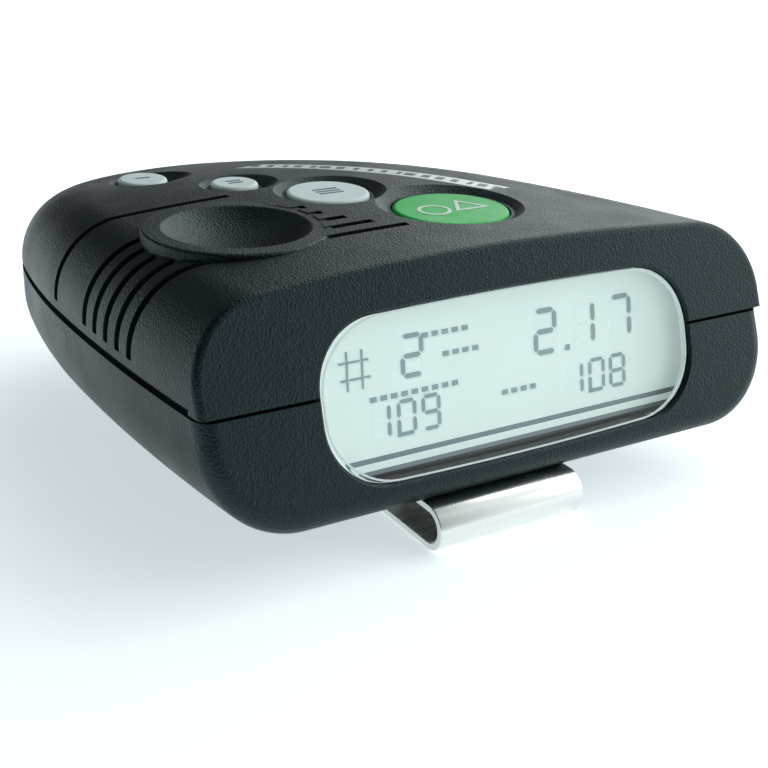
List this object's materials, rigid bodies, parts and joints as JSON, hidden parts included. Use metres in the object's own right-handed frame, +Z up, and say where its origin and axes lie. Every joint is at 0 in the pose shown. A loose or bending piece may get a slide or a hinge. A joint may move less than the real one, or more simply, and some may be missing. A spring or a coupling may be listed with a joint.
{
  "type": "pocket shot timer",
  "caption": "Pocket shot timer: teardrop two-part case, sloping display face, thumb dish, round keys on the top and a steel belt clip underneath.",
  "frame": {"origin": "36 mm in from the left end of the display face, 20 mm behind the face at the parting line, on the flat underside of the belt clip that the timer rests on", "axes": "+X to the right of the display as it is read, +Y from the display face towards the tail, +Z up through the keys"},
  "size_m": [0.0752, 0.0736, 0.0298],
  "materials": {
    "case": "fine moulded grain, satin",
    "window": "clear polished acrylic",
    "lcd": "pale reflective liquid crystal",
    "inner_plastic": "moulded",
    "elastomer": "soft",
    "circuit_board": "solder resist",
    "ribbon": "polyimide film",
    "go_green": "satin",
    "key_grey": "satin",
    "contact_metal": "plated",
    "foam": "closed-cell foam",
    "brass": "plain",
    "cell": "plain sleeve",
    "screw": "zinc plated",
    "clip_steel": "bright nickel plated spring steel",
    "plate_silver": "satin printed film"
  },
  "bodies": {
    "case": {"top_shell": "case", "bottom_shell": "case", "display_window": "window", "lcd_panel": "lcd", "display_holder": "inner_plastic", "lcd_contact_strips": "elastomer", "display_board": "circuit_board", "board_ribbon": "ribbon", "main_board": "circuit_board", "board_chips": "inner_plastic", "switch_bodies": "contact_metal", "sounder_ring": "foam", "piezo_disc": "brass", "mic_boot": "elastomer", "microphone": "contact_metal", "battery_cell": "cell", "battery_contact_spring": "contact_metal", "battery_contact_plate": "contact_metal", "case_screws": "screw", "board_screws": "screw", "clip_screws": "screw", "clip_plate": "clip_steel", "label_strip": "plate_silver"},
    "go_key": {"go_button": "go_green", "go_plunger": "inner_plastic"},
    "review_key": {"review_button": "key_grey", "review_plunger": "inner_plastic"},
    "up_key": {"up_button": "key_grey", "up_plunger": "inner_plastic"},
    "down_key": {"down_button": "key_grey", "down_plunger": "inner_plastic"},
    "door": {"battery_door": "case"},
    "leaf": {"clip_leaf": "clip_steel"}
  },
  "joints": [
    {"name": "go_press", "type": "slide", "parent": "case", "child": "go_key", "axis": [0, 0, -1], "range_m": [0, 0.0005], "stiffness_N_per_m": 2000, "springref_m": -0.0004},
    {"name": "review_press", "type": "slide", "parent": "case", "child": "review_key", "axis": [0, 0, -1], "range_m": [0, 0.0005], "stiffness_N_per_m": 2000, "springref_m": -0.0004},
    {"name": "up_press", "type": "slide", "parent": "case", "child": "up_key", "axis": [0, 0, -1], "range_m": [0, 0.0005], "stiffness_N_per_m": 2000, "springref_m": -0.0004},
    {"name": "down_press", "type": "slide", "parent": "case", "child": "down_key", "axis": [0, 0, -1], "range_m": [0, 0.0005], "stiffness_N_per_m": 2000, "springref_m": -0.0004},
    {"name": "door_slide", "type": "slide", "parent": "case", "child": "door", "axis": [0, 1, 0], "range_m": [0, 0.004]},
    {"name": "clip_open", "type": "hinge", "parent": "case", "child": "leaf", "pos_m": [0, -0.0231, 0.00255], "axis": [-1, 0, 0], "range_deg": [0, 9], "stiffness_Nm_per_rad": 1.6, "springref_deg": -6.88}
  ]
}
